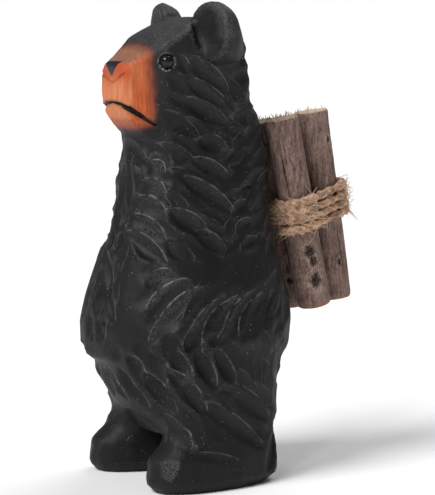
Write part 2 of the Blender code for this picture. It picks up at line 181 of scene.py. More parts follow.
def mesh_edges(mesh):
    edges = np.zeros(len(mesh.edges) * 2, dtype=np.int64)
    mesh.edges.foreach_get("vertices", edges)
    return edges.reshape(-1, 2)


def spread(values, edges, weights=None):
    """Mean of each point's neighbours, weighted by the edges between them."""
    count = len(values)
    a, b = edges[:, 0], edges[:, 1]
    weights = np.ones(len(edges)) if weights is None else weights
    total = np.bincount(a, weights, count) + np.bincount(b, weights, count) + 1e-9
    columns = values if values.ndim == 2 else values[:, None]
    result = np.zeros_like(columns, dtype=float)
    for index in range(columns.shape[1]):
        column = columns[:, index]
        result[:, index] = (np.bincount(a, weights * column[b], count)
                            + np.bincount(b, weights * column[a], count)) / total
    return result if values.ndim == 2 else result[:, 0]


def vertex_normals(mesh, points):
    mesh.vertices.foreach_set("co", points.ravel())
    mesh.update()
    normals = np.zeros(len(mesh.vertices) * 3)
    mesh.vertices.foreach_get("normal", normals)
    return normals.reshape(-1, 3)


# %% Distances on the face
def left_half(points):
    """The points with those of the right half mirrored to the left."""
    folded = points.copy()
    folded[:, 0] = np.abs(folded[:, 0])
    return folded


def line_distance(points, line):
    """Distance in mm to a line given by its left half, and the share along it."""
    folded = left_half(points)
    corners = [landmark(*corner) for corner in line]
    best = np.full(len(points), 1e9)
    where = np.zeros(len(points))
    for index, (start, end) in enumerate(zip(corners, corners[1:])):
        way = end - start
        share = np.clip((folded - start) @ way / (way @ way), 0.0, 1.0)
        distance = np.linalg.norm(folded - start - share[:, None] * way, axis=1)
        nearer = distance < best
        best = np.where(nearer, distance, best)
        where = np.where(nearer, index + share, where)
    return best / MM / scale, where


def eye_distance(points):
    return np.linalg.norm(left_half(points) - np.array(eye), axis=1) / MM / scale


def near_detail(points, mouth_reach, crease_reach, eye_reach):
    """Which points lie close to the mouth, the crease under the nose or an eye."""
    near_mouth = line_distance(points, MOUTH)[0] < mouth_reach
    near_crease = line_distance(points, CREASE)[0] < crease_reach
    return near_mouth | near_crease | (eye_distance(points) < eye_reach)


# %% Fine mesh of the carving
# How far in mm from the mouth, the crease and the eyes the mesh is finer still
VOXEL = 0.00067
FINE_REACH = (1.9, 1.2, 3.4)
solid = merged_copy("bear")
solid_tree = tree_of(solid)
coat = even_mesh(solid, VOXEL)
detail = near_detail(mesh_points(coat), *FINE_REACH)
bm = bmesh.new()
bm.from_mesh(coat)
bm.verts.ensure_lookup_table()
chosen = [face for face in bm.faces if all(detail[vertex.index] for vertex in face.verts)]
rims = list({edge for face in chosen for edge in face.edges})
bmesh.ops.subdivide_edges(bm, edges=rims, cuts=2, use_grid_fill=True)
bmesh.ops.triangulate(bm, faces=[face for face in bm.faces if len(face.verts) > 4])
bm.to_mesh(coat)
bm.free()

# %% Laying it back and smoothing it
# A bend sharper than RIM_BEND between two points counts as a rim and stays, and so does all that lies
# within HELD_REACH in mm of the mouth, the crease and the eyes
HELD_REACH = (2.2, 1.4, 3.2)
SMOOTH_TURNS = 6
SMOOTH_STEP = 0.55
RIM_BEND = 0.020
edges = mesh_edges(coat)
points = np.array([solid_tree.find_nearest(Vector(point))[0] for point in mesh_points(coat)])
sole = points[:, 2] < 0.05 * MM
normals = vertex_normals(coat, points)
mouth_gap, mouth_share = line_distance(points, MOUTH)
crease_gap = line_distance(points, CREASE)[0]
held = np.where(sole | near_detail(points, *HELD_REACH), 0.0, 1.0)
for turn in range(SMOOTH_TURNS):
    bend = 1.0 - np.einsum("ij,ij->i", normals[edges[:, 0]], normals[edges[:, 1]])
    weights = np.exp(-(bend / RIM_BEND) ** 2) + 0.002
    points = points + SMOOTH_STEP * held[:, None] * (spread(points, edges, weights) - points)
    normals = vertex_normals(coat, points)
print("coat points", len(points), "faces", len(coat.polygons))

# %% How far each place stands out
BROAD_TURNS = 60
broad = points.copy()
for turn in range(BROAD_TURNS):
    broad = spread(broad, edges)
standing = np.einsum("ij,ij->i", points - broad, normals) / MM
print("standing proud, mm", np.percentile(standing, (5, 25, 50, 75, 95)).round(2))

# %% [markdown]
# ## Strokes of the gouge
# A gouge leaves a hollow shaped like a leaf: it goes in at one end, is deepest and widest in the
# middle, and comes out at the other end. Each stroke is one such leaf. Where two overlap the deeper
# one wins, as with a real gouge. They are laid out in bands and rows, as a carver works too.

# %% One stroke
# How full the leaf is towards its ends; and only points facing nearly its own way belong to a stroke
LEAF_FULLNESS = 0.65
SAME_WAY = 0.35


class Stroke:
    """One hollow: its middle, the ways it faces and runs, its size, and how scuffed its paint is, with a
    painted highlight where it faces the light.
    """

    def __init__(self, place, normal, along, length, width, depth, wear_and_highlight, side):
        flip = np.array((side, 1.0, 1.0))
        self.place = np.array(place) * flip
        self.normal = np.array(normal) * flip
        self.along = np.array(along) * flip
        self.length = length
        self.width = width
        self.depth = depth
        self.wear_and_highlight = wear_and_highlight

    def near(self, points):
        """Points near the stroke, their places along and across it, and its half width there."""
        offset = points - self.place
        picked = np.nonzero(np.einsum("ij,ij->i", offset, offset) < (0.60 * self.length) ** 2)[0]
        across = np.cross(self.normal, self.along)
        across = across * (1.0 if across[2] > 0.0 else -1.0)
        s = offset[picked] @ self.along / (self.length / 2.0)
        t = offset[picked] @ across / (self.width / 2.0)
        leaf = np.clip(1.0 - s * s, 0.02, 1.0) ** LEAF_FULLNESS
        return picked, s, t, leaf


tree = tree_of(coat)


def coat_point(bearing, share):
    """Place on the coat at a bearing in degrees and a share of the height, and its normal."""
    angle = math.radians(bearing)
    outward = Vector((math.cos(angle), math.sin(angle), 0.0))
    start = Vector((0.0, axis_y, share * size)) + outward * size
    return tree.ray_cast(start, -outward)[:2]


# %% Bands of small strokes
# Bands up the left half, mirrored to the right: height share from and to, bearing from and to in
# degrees (-90 is the front), slant in degrees (positive rises towards the back), length, width and
# depth in mm
STROKE_BANDS = (
    (0.095, 0.160, -70, 80, -34, 14.0, 5.6, 0.75),
    (0.160, 0.235, 10, 85, -42, 15.0, 5.8, 0.80),
    (0.235, 0.315, 20, 85, -58, 12.0, 5.2, 0.75),
    (0.335, 0.425, 30, 88, 38, 16.0, 6.0, 0.85),
    (0.480, 0.720, -75, 8, -27, 13.0, 5.2, 0.85),
    (0.480, 0.740, 14, 88, 30, 13.0, 5.0, 0.90),
    (0.720, 0.880, -30, 30, -32, 13.0, 4.8, 0.75),
    (0.740, 0.900, 40, 85, 24, 11.0, 4.8, 0.75),
    (0.480, 0.680, -100, -78, -80, 14.0, 4.2, 0.50),
    (0.320, 0.460, -100, -70, -82, 13.0, 4.4, 0.50),
)
ROW_STEP = 0.044
ROW_SHIFT = 6.0
STROKE_STEP = 19.0
STEEPEST = 0.75
hand = random.Random(11)


def small_stroke(bearing, share, slant, length, width, depth, side):
    """One small stroke with the unevenness of a hand, or none where the coat lies too flat."""
    place, normal = coat_point(bearing + hand.uniform(-3.0, 3.0), share + hand.uniform(-0.008, 0.008))
    if place is None or abs(normal.z) > STEEPEST:
        return []
    across = Vector((0.0, 0.0, 1.0)).cross(normal).normalized()
    rise = normal.cross(across).normalized()
    lean = math.radians(slant + hand.uniform(-7.0, 7.0))
    along = across * math.cos(lean) + rise * math.sin(lean)
    grade = hand.uniform(0.95, 1.30) * scale * MM
    return [Stroke(place, normal, along, length * grade, width * grade,
                   depth * grade * hand.uniform(0.60, 0.95), hand.uniform(0.0, 0.2), side)]


small_strokes = []
for low, high, start, stop, *shape in STROKE_BANDS:
    rows = max(1, round((high - low) / ROW_STEP))
    for row in range(rows):
        share = low + (row + 0.5) / rows * (high - low)
        for bearing in np.arange(start + (row % 2) * ROW_SHIFT, stop + 0.01, STROKE_STEP):
            for side in (1, -1):
                small_strokes += small_stroke(bearing, share, *shape, side)
print("small strokes", len(small_strokes))

# %% Rows of the strokes that stand out
# Each row on the left half gives how many strokes it has, the middle of its first and last stroke as
# bearing and height share, the way its first and last stroke run in the same terms, width and depth
# in mm, and how scuffed the paint is in its first and last stroke, which also sets the painted
# highlight of a stroke that faces the light
MAIN_ROWS = (
    # chest, shoulder, side below it, back of the shoulder
    (5, (-54, 0.66), (-58, 0.50), (14, -0.018), (34, -0.055), 5.8, 1.1, 1.0, 0.4),
    (3, (4, 0.705), (-6, 0.605), (28, -0.015), (44, -0.070), 6.2, 1.05, 0.3, 0.35),
    (2, (-25, 0.55), (-8, 0.51), (32, -0.050), (24, -0.040), 6.0, 1.0, 0.5, 0.2),
    (3, (25, 0.575), (29, 0.50), (18, 0.025), (18, 0.020), 5.0, 0.95, 0.3, 0.2),
    # front of the hip, side of the hip
    (3, (-43, 0.44), (-33, 0.37), (17, 0.020), (28, 0.100), 6.6, 1.1, 0.7, 1.0),
    (4, (-15, 0.345), (23, 0.36), (30, 0.100), (24, 0.085), 7.0, 1.25, 0.5, 0.5),
    # upper thigh, lower thigh, above the heel
    (5, (-59, 0.26), (0, 0.255), (4, -0.062), (14, -0.075), 5.0, 0.8, 0.6, 0.2),
    (4, (-85, 0.21), (-26, 0.21), (12, -0.065), (24, -0.090), 5.6, 0.9, 0.75, 0.5),
    (2, (6, 0.135), (21, 0.175), (46, -0.100), (33, -0.080), 6.2, 0.9, 0.25, 0.2),
    # cheek, temple
    (3, (3, 0.845), (-4, 0.775), (40, -0.058), (46, -0.046), 5.8, 1.0, 0.4, 0.4),
    (1, (-30, 0.873), (-30, 0.873), (10, -0.034), (10, -0.034), 3.6, 0.6, 0.4, 0.4),
    # middle of the belly, breastbone, two cuts on the foot
    (1, (-84, 0.42), (-84, 0.42), (28, -0.124), (28, -0.124), 4.8, 1.0, 0.3, 0.3),
    (1, (-82, 0.62), (-82, 0.62), (6, -0.085), (6, -0.085), 5.0, 0.9, 0.3, 0.3),
    (1, (-26, 0.112), (-26, 0.112), (2, -0.036), (2, -0.036), 2.6, 0.35, 0.8, 0.8),
    (1, (-8, 0.072), (-8, 0.072), (33, -0.023), (33, -0.023), 3.0, 0.20, 0.0, 0.0),
)
# A stroke runs out past its two ends, and is cut wider and deeper than its row says
MAIN_LENGTH, MAIN_WIDTH, MAIN_DEPTH = 1.15, 1.1, 1.45
# A stroke that starts past this bearing crosses the middle of the front and has no twin
LAST_TWIN = -92


def main_stroke(bearing, share, turn, climb, width, depth, wear_and_highlight):
    """A stroke from its middle and the way it runs, with its twin on the right half."""
    start, start_normal = coat_point(bearing - turn / 2.0, share - climb / 2.0)
    end, end_normal = coat_point(bearing + turn / 2.0, share + climb / 2.0)
    middle, middle_normal = coat_point(bearing, share)
    along = (end - start).normalized()
    normal = (start_normal + end_normal + 2.0 * middle_normal).normalized()
    normal = (normal - along * normal.dot(along)).normalized()
    length = (end - start).length * MAIN_LENGTH
    sides = (1, -1) if bearing - turn / 2.0 >= LAST_TWIN else (1,)
    return [Stroke(middle, normal, along, length, MAIN_WIDTH * width * scale * MM,
                   MAIN_DEPTH * depth * scale * MM, wear_and_highlight, side) for side in sides]


main_strokes = []
for count, first, last, first_way, last_way, width, depth, first_wear_and_highlight, last_wear_and_highlight in MAIN_ROWS:
    for index in range(count):
        part = index / max(count - 1, 1)
        bearing, share = (1.0 - part) * np.array(first) + part * np.array(last)
        turn, climb = (1.0 - part) * np.array(first_way) + part * np.array(last_way)
        wear_and_highlight = (1.0 - part) * first_wear_and_highlight + part * last_wear_and_highlight
        main_strokes += main_stroke(bearing, share, turn, climb, width, depth, wear_and_highlight)
print("main strokes", len(main_strokes))


# %% Hollows and edges
def cut_strokes(points, normals, strokes, allowed):
    """Depth of the deepest stroke at each point, and its scuff with painted highlight there, from 0 to 1.
    """
    deepest = np.zeros(len(points))
    scuffed_and_lit = np.zeros(len(points))
    for stroke in strokes:
        picked, s, t, leaf = stroke.near(points)
        hollow = stroke.depth * leaf * (1.0 - (t / leaf) ** 2) * allowed[picked]
        inside = (normals[picked] @ stroke.normal > SAME_WAY) & (np.abs(s) < 1.0) & (np.abs(t) < leaf)
        hollow = np.where(inside, hollow, 0.0)
        wins = hollow > deepest[picked]
        # The scuff and its painted highlight grow towards the upper edge of the stroke
        fade = np.clip((t / leaf + 0.45) / 1.45, 0.0, 1.0) ** 1.3
        scuffed_and_lit[picked] = np.where(wins, stroke.wear_and_highlight * fade, scuffed_and_lit[picked])
        deepest[picked] = np.maximum(deepest[picked], hollow)
    return deepest, scuffed_and_lit


def upper_edges(points, normals, strokes):
    """Signed distance in mm to the nearest upper edge of a stroke, and how worn that edge is."""
    gap = np.full(len(points), 9.0)
    worn = np.zeros(len(points))
    for stroke in strokes:
        picked, s, t, leaf = stroke.near(points)
        distance = (leaf - t) * stroke.width / 2.0 / MM
        near = (normals[picked] @ stroke.normal > SAME_WAY) & (np.abs(s) < 0.94) & (t > 0.0)
        near &= np.abs(distance) < np.minimum(1.6, np.abs(gap[picked]))
        gap[picked] = np.where(near, distance, gap[picked])
        worn[picked] = np.where(near, 0.45 + 0.55 * stroke.wear_and_highlight, worn[picked])
    return gap, worn


# %% [markdown]
# ## The face
# The muzzle, nose and eye rings are only colour on the same wood, and the mouth and the crease
# under the nose are darkened with painted shade, so they are not pieces of their own. Each is worked
# out as a distance from its edge at every point of the coat, and kept with the mesh, so the material
# can draw a sharp or a soft edge from it.

# %% The parts of the face
# Shares of the height where the stain begins, where it ends below the chin, and how both slant
STAIN_BACK, STAIN_SLANT = -0.108, 0.043
CHIN, CHIN_BACK, CHIN_SLANT = 0.744, -0.110, 0.35
NOSE_FRONT = -0.160
BLUSH_TOP, BLUSH_REACH = 0.855, 0.020
BLUSH_BACK, BLUSH_FADE = -0.150, 0.008
# Where the front of the muzzle, painted as lit, begins and where it is full
FRONT_BACK, FRONT_FULL = -0.146, -0.158
EDGE_WOBBLE = 0.6

# Distances in mm, positive inside the region
shares = (points - np.array((0.0, axis_y, 0.0))) / size
share_x, share_y, share_z = np.abs(shares[:, 0]), shares[:, 1], shares[:, 2]
front_plane = STAIN_BACK - STAIN_SLANT * (share_z - CHIN) - share_y
throat = share_z - CHIN + CHIN_SLANT * np.clip(CHIN_BACK - share_y, 0.0, 1.0)
muzzle = np.minimum(front_plane, throat) * size / MM
wobble = noise_at(points, 260.0, 4.0) + 0.5 * noise_at(points, 700.0, 9.0)
nose_rise = np.clip((share_z - NOSE_BOTTOM) / (NOSE_TOP - NOSE_BOTTOM), 0.0, 1.0)
nose_half = NOSE_HALF * (0.10 + 0.95 * nose_rise)
nose = np.minimum(nose_half - share_x, np.minimum(NOSE_TOP + 0.002 - share_z, share_z - NOSE_BOTTOM))
nose = np.minimum(nose, NOSE_FRONT - share_y) * size / MM
eye_ring = eye_distance(points)
blush = np.exp(-(np.maximum(0.0, BLUSH_TOP - share_z) / BLUSH_REACH) ** 2)
blush *= np.clip((BLUSH_BACK - share_y) / BLUSH_FADE, 0.0, 1.0)
lit_front = smooth_step(FRONT_BACK, FRONT_FULL, share_y)

# %% Cutting the strokes
# The hollows between the strokes are half filled, so that the rows that stand out read first, and
# the face, the ears and the soles stay free of strokes
FILL, FILL_LIMIT = 0.5, 1.6
face_free = smooth_step(-3.0, 0.5, -muzzle) * smooth_step(3.0, 5.5, eye_ring)
ear_free = smooth_step(0.905, 0.885, share_z)
free = face_free * ear_free * np.where(sole, 0.0, 1.0)
points = points + normals * (FILL * np.clip(-standing, 0.0, FILL_LIMIT) * MM * free)[:, None]
small = cut_strokes(points, normals, small_strokes, free * smooth_step(-0.35, 0.0, standing))
main = cut_strokes(points, normals, main_strokes, free)
edge_gap, edge_wear = upper_edges(points, normals, main_strokes)
small_gap, small_wear = upper_edges(points, normals, small_strokes)
between = (main[0] < 0.02 * MM) & (np.abs(edge_gap) > 1.0)
edge_gap = np.where(between, small_gap, edge_gap)
edge_wear = np.where(between, 0.7 * small_wear * smooth_step(-0.30, 0.05, standing), edge_wear) * free
depths, scuff_and_highlight = [np.where(main[0] > small[0], large, little) for large, little in zip(main, small)]
points = points - normals * depths[:, None]
print("deepest stroke, mm", round(depths.max() / MM, 2))

# %% Toes and mouth
# One flat chisel cut on the outer toe of each foot: middle, way that it faces, reach and depth in mm
TOE_MIDDLE = (0.166, -0.115, 0.052)
TOE_WAY = (0.80, -0.58, 0.16)
# The flat face of the cut also gets a painted highlight; the last of these numbers is its strength
TOE_REACH, TOE_DEPTH, TOE_HIGHLIGHT = 3.6, 0.45, 0.9
for side in (1, -1):
    flip = np.array((side, 1.0, 1.0))
    outward = unit(np.array([TOE_WAY]) * flip)[0]
    offset = points - landmark(*TOE_MIDDLE) * flip
    near = np.linalg.norm(offset, axis=1) < TOE_REACH * scale * MM
    top = (offset[near] @ outward).max()
    beyond = np.where(near, np.maximum(offset @ outward - top + TOE_DEPTH * MM, 0.0), 0.0)
    points = points - outward * beyond[:, None]
    scuff_and_highlight = np.where(beyond > 0.0, TOE_HIGHLIGHT, scuff_and_highlight)

# The mouth and the crease are cut a little deeper than the round groove of the solid, towards the
# upright line behind the face
MOUTH_CUT, CREASE_CUT = 0.55, 0.25
FACE_CENTRE = -0.09
mouth_radius = np.interp(mouth_share, range(len(MOUTH_RADIUS)), MOUTH_RADIUS)
mouth_inside = smooth_step(1.10, 0.85, mouth_gap / mouth_radius)
crease_inside = smooth_step(0.50, 0.25, crease_gap)
inward = -unit(np.stack((shares[:, 0], shares[:, 1] - FACE_CENTRE, np.zeros(len(points))), axis=1))
points = points + inward * ((MOUTH_CUT * mouth_inside + CREASE_CUT * crease_inside) * MM)[:, None]

# %% Knife chatter and open grain
CHATTER_DEPTH, GRAIN_DEPTH = 0.07, 0.035
chatter = noise_at(points, 420.0, 2.0) * CHATTER_DEPTH
chatter += noise_at(points * np.array((1.0, 1.0, 0.25)), 1500.0, 5.0) * GRAIN_DEPTH
points = points + normals * (np.where(sole | (mouth_gap < 1.5), 0.0, chatter) * MM)[:, None]
points[:, 2] = np.maximum(points[:, 2], 0.0)
normals = vertex_normals(coat, points)

# %% Wear and painted highlights
# Ridges stand proud of the mean of their surroundings, and hollows lie below it, and the ridges are
# rubbed most on the head. The upward-facing brow and crown and the outer parts of the ears get a
# painted highlight.
mean = points
for turn in range(4):
    mean = spread(mean, edges)
ridge = np.einsum("ij,ij->i", points - mean, normals) / (VOXEL * 0.35)
ridge = 0.5 * ridge + 0.5 * spread(ridge, edges)
ridge *= 0.45 + 0.55 * smooth_step(0.86, 0.90, share_z)
# Painted highlight on the upward-facing brow and crown, and on the outer parts of the ears
brow = 0.55 * smooth_step(0.30, 0.70, normals[:, 2]) * smooth_step(0.86, 0.89, share_z)
ear_rim_highlight = 0.5 * smooth_step(0.915, 0.935, share_z) * smooth_step(0.110, 0.135, share_x)
scuff_and_highlight = np.maximum(scuff_and_highlight * free, np.maximum(brow, ear_rim_highlight))
eye_rim = 0.35 + 0.65 * smooth_step(0.5, -1.8, (points[:, 2] - eye.z) / MM)
print("ridge spread", np.percentile(ridge, (5, 50, 95)).round(2))

coat_marks = {
    "muzzle": muzzle + EDGE_WOBBLE * wobble, "nose": nose, "ridge": ridge, "eye_ring": eye_ring,
    "eye_rim": eye_rim, "edge_gap": edge_gap, "edge_wear": edge_wear, "scuff_and_highlight": scuff_and_highlight,
    "mouth": mouth_gap - mouth_radius, "crease": crease_gap, "blush": blush, "lit_front": lit_front,
    # The paint turns a little lighter towards the head
    "toward_head": smooth_step(0.70, 0.86, share_z), "lit_top": smooth_step(0.45, 0.75, normals[:, 2]),
}
for name, values in coat_marks.items():
    float_attribute(coat, name, values)

# %% [markdown]
# ## Paint and stain
# The coat is a thin matt black paint. Along the ridges it is rubbed thinner and greyer, and fine
# pale specks show on it. The strokes that face the light, the brow and the ears get painted
# highlights. The muzzle is a clear orange-brown stain, so the upright grain shows in it. Its front is
# painted as lit, its sides as shaded and its top in the tan it shows under the light, and the paint
# fades over it in a soft sprayed edge.

# %% Material helpers
class Finish:
    """A finish under way. Each method adds one node and gives its output."""

    def __init__(self, owner):
        owner.use_nodes = True
        self.owner = owner
        self.tree = owner.node_tree

    def feed(self, socket, value):
        if isinstance(value, bpy.types.NodeSocket):
            self.tree.links.new(value, socket)
        else:
            socket.default_value = value

    def node(self, kind, inputs, **settings):
        made = self.tree.nodes.new(kind)
        for key, value in settings.items():
            setattr(made, key, value)
        for key, value in inputs.items():
            self.feed(made.inputs[key], value)
        return made

    def surface(self, name, value):
        """Gives the surface itself one property."""
        self.feed(self.tree.nodes["Principled BSDF"].inputs[name], value)

    def place(self, stretch=(1.0, 1.0, 1.0)):
        spot = self.node("ShaderNodeTexCoord", {}).outputs["Object"]
        return self.node("ShaderNodeMapping", {"Vector": spot, "Scale": stretch}).outputs["Vector"]

    def noise(self, vector, size, detail=4.0, roughness=0.6):
        inputs = {"Vector": vector, "Scale": size, "Detail": detail, "Roughness": roughness}
        return self.node("ShaderNodeTexNoise", inputs).outputs["Fac"]

    def ramp(self, value, low, high, low_out=0.0, high_out=1.0):
        inputs = {"Value": value, "From Min": low, "From Max": high, "To Min": low_out, "To Max": high_out}
        return self.node("ShaderNodeMapRange", inputs).outputs["Result"]

    def maths(self, operation, first, second=0.0):
        return self.node("ShaderNodeMath", {0: first, 1: second}, operation=operation).outputs["Value"]

    def product(self, first, *others):
        for other in others:
            first = self.maths('MULTIPLY', first, other)
        return first

    def blend(self, share, first, second):
        """Colour that goes from the first to the second as the share goes from 0 to 1."""
        return self.node("ShaderNodeMix", {0: share, 6: first, 7: second}, data_type='RGBA').outputs[2]

    def attribute(self, name):
        return self.node("ShaderNodeAttribute", {}, attribute_name=name).outputs["Fac"]

    def bump(self, height, distance, strength):
        inputs = {"Height": height, "Distance": distance, "Strength": strength}
        self.surface("Normal", self.node("ShaderNodeBump", inputs).outputs["Normal"])


# %% Black paint
PAINT_THICK = (0.0046, 0.0046, 0.0049, 1.0)
PAINT_THIN = (0.0100, 0.0100, 0.0103, 1.0)
PAINT_RUBBED = (0.115, 0.115, 0.117, 1.0)
# Grey of the dusty scuffs, which also carries the painted highlights
PAINT_DUSTY_LIT = (0.145, 0.145, 0.146, 1.0)
PAINT_EDGE = (0.125, 0.125, 0.126, 1.0)
PALE_SPECK = (0.30, 0.29, 0.28, 1.0)

paint = Finish(bpy.data.materials.new("painted_wood"))
plain = paint.place()
mottle = paint.noise(plain, 140.0, 5.0)
fine = paint.noise(plain, 1400.0, 3.0, 0.7)
dust = paint.noise(plain, 3400.0, 2.0)
grain = paint.noise(paint.place((1.0, 1.0, 0.10)), 1300.0, 4.0, 0.65)


def black_paint():
    """Black paint: a little lighter towards the head, grey on ridges and edges, dusty in the scuffed cuts,
    with painted highlights where cuts, brow and ears face the light.
    """
    # The paint turns a little lighter towards the head
    toward_head = paint.product(paint.attribute("toward_head"), paint.ramp(mottle, 0.3, 0.7, 0.03, 0.07))
    rubbed = paint.ramp(paint.attribute("ridge"), 0.15, 1.2)
    rubbed = paint.product(rubbed, paint.ramp(fine, 0.40, 0.62), 0.45)
    # Dusty scuffs, and the painted highlights on stroke faces towards the light, the brow and the ears
    dusty_and_lit = paint.product(paint.attribute("scuff_and_highlight"), paint.ramp(dust, 0.46, 0.70))
    edge = paint.ramp(paint.maths('ABSOLUTE', paint.attribute("edge_gap")), 0.34, 0.08)
    edge_breaks = paint.ramp(paint.noise(plain, 330.0, 3.0), 0.42, 0.58)
    edge = paint.product(edge, paint.attribute("edge_wear"), edge_breaks)
    speck_zone = paint.ramp(paint.noise(plain, 260.0, 2.0), 0.50, 0.62)
    speck = paint.product(paint.ramp(paint.noise(plain, 2300.0, 1.0, 0.5), 0.725, 0.760), speck_zone)
    black = paint.blend(mottle, PAINT_THICK, PAINT_THIN)
    for share, shade in ((toward_head, PAINT_RUBBED), (rubbed, PAINT_RUBBED), (dusty_and_lit, PAINT_DUSTY_LIT),
                         (edge, PAINT_EDGE), (speck, PALE_SPECK)):
        black = paint.blend(share, black, shade)
    return black


# %% Stained muzzle
# Dark and light of the grain on the sides, the front and the bridge of the muzzle. They are painted
# light and shade of one stain: the front lit, the sides shaded, and the upward-facing bridge in the
# tan it shows under the light.
STAIN_SIDE_SHADED = ((0.34, 0.058, 0.014, 1.0), (0.55, 0.130, 0.040, 1.0))
STAIN_FRONT_LIT = ((0.48, 0.133, 0.050, 1.0), (0.69, 0.250, 0.105, 1.0))
STAIN_BRIDGE_LIT = ((0.20, 0.083, 0.046, 1.0), (0.31, 0.145, 0.086, 1.0))
STAIN_CLOUD = (0.52, 0.19, 0.085, 1.0)
STAIN_BLUSH = (0.44, 0.055, 0.012, 1.0)
# Painted shade along the lips of the mouth and in the crease under the nose
LIP_SHADE = (0.20, 0.045, 0.020, 1.0)
CREASE_SHADE = (0.13, 0.030, 0.015, 1.0)
STAIN_EDGE = (0.11, 0.028, 0.016, 1.0)


def muzzle_stain():
    """Clear stain, painted lit in front and shaded on the sides, tan on the upward-facing bridge as it
    looks under the light, red under the nose, with painted shade along the mouth and the crease.
    """
    streak = paint.ramp(grain, 0.35, 0.70)
    side, front, bridge = [paint.blend(streak, *pair) for pair in (STAIN_SIDE_SHADED, STAIN_FRONT_LIT, STAIN_BRIDGE_LIT)]
    # Painted light and shade: the front lit and the sides shaded
    stain = paint.blend(paint.attribute("lit_front"), side, front)
    stain = paint.blend(paint.ramp(mottle, 0.45, 0.75, 0.0, 0.4), stain, STAIN_CLOUD)
    stain = paint.blend(paint.product(paint.attribute("blush"), 0.85), stain, STAIN_BLUSH)
    # Painted light: the upward-facing top in the tan it shows under the light
    stain = paint.blend(paint.attribute("lit_top"), stain, bridge)
    # Painted shade along the mouth and in the crease
    stain = paint.blend(paint.ramp(paint.attribute("mouth"), 0.9, 0.0, 0.0, 0.6), stain, LIP_SHADE)
    stain = paint.blend(paint.ramp(paint.attribute("crease"), 0.45, 0.15, 0.0, 0.7), stain, CREASE_SHADE)
    return paint.blend(paint.ramp(paint.attribute("muzzle"), 0.0, 3.0), STAIN_EDGE, stain)


# %% Mouth, nose and the rings round the eyes
# The mouth cut is painted black as painted shade
MOUTH_SHADE = (0.010, 0.005, 0.004, 1.0)
# The nose is black paint, and its blue tint is a painted sheen
NOSE_BLACK = (0.013, 0.015, 0.022, 1.0)
PALE_RING = (0.42, 0.40, 0.39, 1.0)


def pale_ring():
    """Broken pale ring round each drilled socket, strongest below it."""
    gap = paint.attribute("eye_ring")
    ring = paint.product(paint.ramp(gap, 2.15, 2.35), paint.ramp(gap, 3.2, 2.6), paint.attribute("eye_rim"))
    breaks = paint.ramp(paint.noise(plain, 850.0, 2.0), 0.45, 0.56)
    return paint.product(ring, paint.ramp(dust, 0.40, 0.54), breaks)


muzzle_share = paint.ramp(paint.attribute("muzzle"), -0.7, 0.8)
mouth_share = paint.ramp(paint.attribute("mouth"), 0.07, 0.0)
nose_share = paint.ramp(paint.attribute("nose"), -0.10, 0.15)
colour = paint.blend(muzzle_share, black_paint(), muzzle_stain())
colour = paint.blend(mouth_share, colour, MOUTH_SHADE)
colour = paint.blend(nose_share, colour, NOSE_BLACK)
colour = paint.blend(pale_ring(), colour, PALE_RING)
paint.surface("Base Color", colour)
rough = paint.ramp(mottle, 0.3, 0.7, 0.48, 0.64)
paint.surface("Roughness", paint.maths('SUBTRACT', rough, paint.product(nose_share, 0.20)))
paint.surface("Specular IOR Level", 0.24)
paint.bump(paint.maths('ADD', paint.product(grain, 0.6), paint.product(fine, 0.4)), 0.00020, 0.7)

finished("carved_bear", coat, "bear", paint.owner)

# %% [markdown]
# ## Eyes
# Each eye is a glossy black bead pressed into a drilled socket, so it catches a sharp highlight. A
# sphere of the solid's own size is all it needs, with a faint haze so that the gloss isn't perfect.

# %% Beads
BEAD_DARK = (0.004, 0.004, 0.005, 1.0)
BEAD_LIGHT = (0.012, 0.011, 0.011, 1.0)
glass = Finish(bpy.data.materials.new("glossy_bead"))
haze = glass.noise(glass.place(), 900.0, 3.0)
glass.surface("Base Color", glass.blend(haze, BEAD_DARK, BEAD_LIGHT))
glass.surface("Roughness", glass.ramp(haze, 0.3, 0.7, 0.10, 0.16))
glass.surface("Specular IOR Level", 0.30)
glass.bump(haze, 0.00002, 0.3)

for name in ("left_eye", "right_eye"):
    low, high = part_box(name)
    bm = bmesh.new()
    bmesh.ops.create_uvsphere(bm, u_segments=40, v_segments=24, radius=(high.x - low.x) / 2.0)
    bm.transform(Matrix.Translation((low + high) / 2.0))
    mesh = bpy.data.meshes.new(name + "_bead")
    bm.to_mesh(mesh)
    bm.free()
    finished(name + "_bead", mesh, name, glass.owner)

# %% [markdown]
# ## Twigs
# Three lengths of a real twig with the bark on. The bark has fine ridges along it, a few knots and
# one long crack. The ends were cut with a saw, so they are pale and a little frayed at the rim. A
# plain rod is cut into a fine net first, and then each point is sunk as deep as the bark is there.

# %% Where each twig runs
class Twig:
    """Axis, length, radius and directions of one twig, measured on its plain solid."""

    def __init__(self, node_name):
        self.name = node_name
        corners = np.array([vertex.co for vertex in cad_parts[node_name].data.vertices])
        corners = np.unique(corners.round(7), axis=0)
        middle = (corners.max(axis=0) + corners.min(axis=0)) / 2.0
        long_way = np.linalg.svd(corners - corners.mean(axis=0), full_matrices=False)[2][0]
        self.axis = long_way * np.sign(long_way[2])
        reach = (corners - middle) @ self.axis
        self.middle = middle + self.axis * (reach.max() + reach.min()) / 2.0
        self.length = reach.max() - reach.min()
        flat = (corners - self.middle) - np.outer((corners - self.middle) @ self.axis, self.axis)
        self.radius = np.linalg.norm(flat, axis=1).max()
        self.right = np.array(view_right) - self.axis * (np.array(view_right) @ self.axis)
        self.right /= np.linalg.norm(self.right)
        self.back = np.cross(self.axis, self.right)

    def outward(self, angle):
        return math.cos(angle) * self.right + math.sin(angle) * self.back


